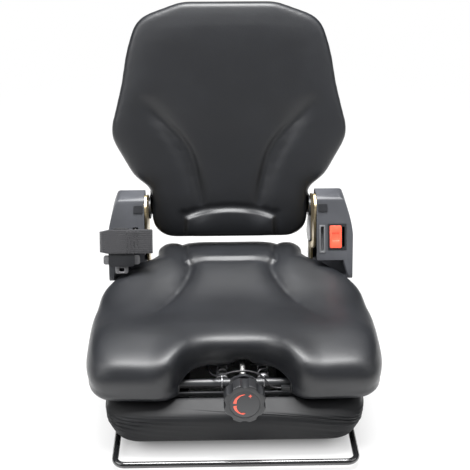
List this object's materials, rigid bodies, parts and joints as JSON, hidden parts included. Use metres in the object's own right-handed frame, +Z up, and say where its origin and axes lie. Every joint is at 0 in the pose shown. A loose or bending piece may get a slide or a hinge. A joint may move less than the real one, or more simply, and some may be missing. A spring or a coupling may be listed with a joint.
{
  "type": "tractor suspension seat",
  "caption": "Low suspension seat for a tractor: padded seat and reclining backrest on a scissor base with slide rails, weight adjuster knob, hip restraints and lap belt.",
  "frame": {"origin": "centre of the four floor bolts, on the floor plane under the slide rails", "axes": "+Z up, -Y the way the occupant faces, +X the occupant's left hand and the viewer's right"},
  "size_m": [0.5162, 0.6729, 0.6474],
  "materials": {
    "lower_rails": "satin",
    "rail_end_stops": "satin",
    "rail_ball_cages": "satin",
    "rail_balls": "polished",
    "upper_rails": "satin",
    "rail_bolts": "satin",
    "slide_release_bar": "gloss",
    "latch_plates": "satin",
    "bar_pivot_pins": "satin",
    "bar_springs": "satin",
    "base_frame": "satin",
    "bump_stops": "matte",
    "outer_scissor_link": "satin",
    "inner_scissor_link": "satin",
    "scissor_centre_pins": "satin",
    "pivot_bushes": "satin",
    "upper_pivot_pins": "satin",
    "lower_rollers": "satin",
    "upper_rollers": "satin",
    "damper_tube": "gloss",
    "damper_rod": "polished",
    "damper_lower_bolt": "satin",
    "damper_upper_bolt": "satin",
    "adjuster_knob": "satin",
    "knob_dial": "satin",
    "adjuster_spindle": "satin",
    "adjuster_housing": "satin",
    "spring_yoke": "satin",
    "tension_springs": "satin",
    "upper_frame": "satin",
    "seat_pan": "satin",
    "seat_cushion": "satin",
    "suspension_boot": "satin",
    "side_plates": "satin",
    "side_plate_bolts": "satin",
    "right_restraint_shell": "satin",
    "left_restraint_shell": "satin",
    "restraint_caps": "satin",
    "right_slot_insert": "satin",
    "left_belt_bezel": "satin",
    "buckle_housing": "satin",
    "buckle_button": "satin",
    "belt_retractor": "satin",
    "belt_webbing": "matte",
    "belt_tongue": "polished",
    "tongue_sleeve": "satin",
    "backrest_cushion": "satin",
    "backrest_shell": "satin",
    "backrest_shell_screws": "satin",
    "backrest_frame": "satin",
    "recline_pivot_bolts": "satin",
    "recline_lever": "satin",
    "recline_lever_grip": "satin",
    "seat_switch": "satin",
    "switch_cable": "satin",
    "cable_plug": "satin"
  },
  "bodies": {
    "floor_rails": {"lower_rails": "lower_rails", "rail_end_stops": "rail_end_stops"},
    "rail_cages": {"rail_ball_cages": "rail_ball_cages", "rail_balls": "rail_balls"},
    "slide_carriage": {"upper_rails": "upper_rails", "rail_bolts": "rail_bolts", "base_frame": "base_frame", "bar_pivot_pins": "bar_pivot_pins", "bump_stops": "bump_stops", "pivot_bushes": "pivot_bushes", "damper_lower_bolt": "damper_lower_bolt", "suspension_boot": "suspension_boot"},
    "release_bar": {"slide_release_bar": "slide_release_bar", "latch_plates": "latch_plates", "bar_springs": "bar_springs"},
    "outer_link": {"outer_scissor_link": "outer_scissor_link", "scissor_centre_pins": "scissor_centre_pins", "upper_rollers": "upper_rollers"},
    "inner_link": {"inner_scissor_link": "inner_scissor_link", "lower_rollers": "lower_rollers"},
    "damper_body": {"damper_tube": "damper_tube"},
    "damper_stem": {"damper_rod": "damper_rod"},
    "seat_frame": {"upper_frame": "upper_frame", "seat_pan": "seat_pan", "upper_pivot_pins": "upper_pivot_pins", "damper_upper_bolt": "damper_upper_bolt", "adjuster_housing": "adjuster_housing", "seat_cushion": "seat_cushion", "side_plates": "side_plates", "side_plate_bolts": "side_plate_bolts", "right_restraint_shell": "right_restraint_shell", "left_restraint_shell": "left_restraint_shell", "restraint_caps": "restraint_caps", "right_slot_insert": "right_slot_insert", "left_belt_bezel": "left_belt_bezel", "buckle_housing": "buckle_housing", "belt_retractor": "belt_retractor", "belt_webbing": "belt_webbing", "belt_tongue": "belt_tongue", "tongue_sleeve": "tongue_sleeve", "recline_pivot_bolts": "recline_pivot_bolts", "seat_switch": "seat_switch", "switch_cable": "switch_cable", "cable_plug": "cable_plug"},
    "weight_knob": {"adjuster_knob": "adjuster_knob", "knob_dial": "knob_dial", "adjuster_spindle": "adjuster_spindle"},
    "spring_slider": {"spring_yoke": "spring_yoke", "tension_springs": "tension_springs"},
    "backrest": {"backrest_cushion": "backrest_cushion", "backrest_shell": "backrest_shell", "backrest_shell_screws": "backrest_shell_screws", "backrest_frame": "backrest_frame"},
    "recline_handle": {"recline_lever": "recline_lever", "recline_lever_grip": "recline_lever_grip"},
    "button": {"buckle_button": "buckle_button"}
  },
  "joints": [
    {"name": "fore_aft_slide", "type": "slide", "parent": "floor_rails", "child": "slide_carriage", "axis": [0, 1, 0], "range_m": [-0.075, 0.075]},
    {"name": "cage_slide", "type": "slide", "parent": "floor_rails", "child": "rail_cages", "axis": [0, 1, 0], "range_m": [-0.0376, 0.0376]},
    {"name": "release_lift", "type": "hinge", "parent": "slide_carriage", "child": "release_bar", "pos_m": [0, -0.04, 0.014], "axis": [-1, 0, 0], "range_deg": [0, 3.5], "stiffness_Nm_per_rad": 8, "springref_deg": -8.59},
    {"name": "suspension_travel", "type": "slide", "parent": "slide_carriage", "child": "seat_frame", "axis": [0, 0, 1], "range_m": [-0.04, 0], "stiffness_N_per_m": 4000, "springref_m": 0.075, "deforming": ["suspension_boot"]},
    {"name": "outer_link_turn", "type": "hinge", "parent": "slide_carriage", "child": "outer_link", "pos_m": [0, 0.127, 0.039], "axis": [1, 0, 0], "range_deg": [0, 7.3]},
    {"name": "inner_link_turn", "type": "hinge", "parent": "seat_frame", "child": "inner_link", "pos_m": [0, 0.127, 0.104], "axis": [1, 0, 0], "range_deg": [-7.3, 0]},
    {"name": "damper_body_turn", "type": "hinge", "parent": "slide_carriage", "child": "damper_body", "pos_m": [-0.1, 0.105, 0.042], "axis": [1, 0, 0], "range_deg": [0, 11.1]},
    {"name": "damper_rod_turn", "type": "hinge", "parent": "seat_frame", "child": "damper_stem", "pos_m": [-0.1, -0.095, 0.102], "axis": [1, 0, 0], "range_deg": [0, 11.1]},
    {"name": "weight_knob_turn", "type": "hinge", "parent": "seat_frame", "child": "weight_knob", "pos_m": [0.014, -0.282, 0.127], "axis": [0, -0.9976, 0.0698], "range_deg": [-2160, 1440]},
    {"name": "spring_yoke_slide", "type": "slide", "parent": "seat_frame", "child": "spring_slider", "axis": [0, 0.9976, -0.0698], "range_m": [-0.0101, 0.0151], "deforming": ["tension_springs"]},
    {"name": "backrest_recline", "type": "hinge", "parent": "seat_frame", "child": "backrest", "pos_m": [0, 0.228, 0.248], "axis": [-1, 0, 0], "range_deg": [-5, 25]},
    {"name": "recline_lever_lift", "type": "hinge", "parent": "seat_frame", "child": "recline_handle", "pos_m": [0.166, 0.2, 0.135], "axis": [-1, 0, 0], "range_deg": [0, 10], "stiffness_Nm_per_rad": 1, "springref_deg": -14.32},
    {"name": "buckle_button_press", "type": "slide", "parent": "seat_frame", "child": "button", "axis": [0, 0.9219, -0.3875], "range_m": [0, 0.005], "stiffness_N_per_m": 500, "springref_m": -0.002}
  ],
  "couplings": [
    {"joint": "cage_slide", "follows": "fore_aft_slide", "ratio": 0.5},
    {"joint": "outer_link_turn", "follows": "suspension_travel", "rad_per_m": -3.158},
    {"joint": "inner_link_turn", "follows": "suspension_travel", "rad_per_m": 3.158},
    {"joint": "damper_body_turn", "follows": "suspension_travel", "rad_per_m": -4.795},
    {"joint": "damper_rod_turn", "follows": "suspension_travel", "rad_per_m": -4.795},
    {"joint": "spring_yoke_slide", "follows": "weight_knob_turn", "m_per_rad": -0.00039789}
  ]
}
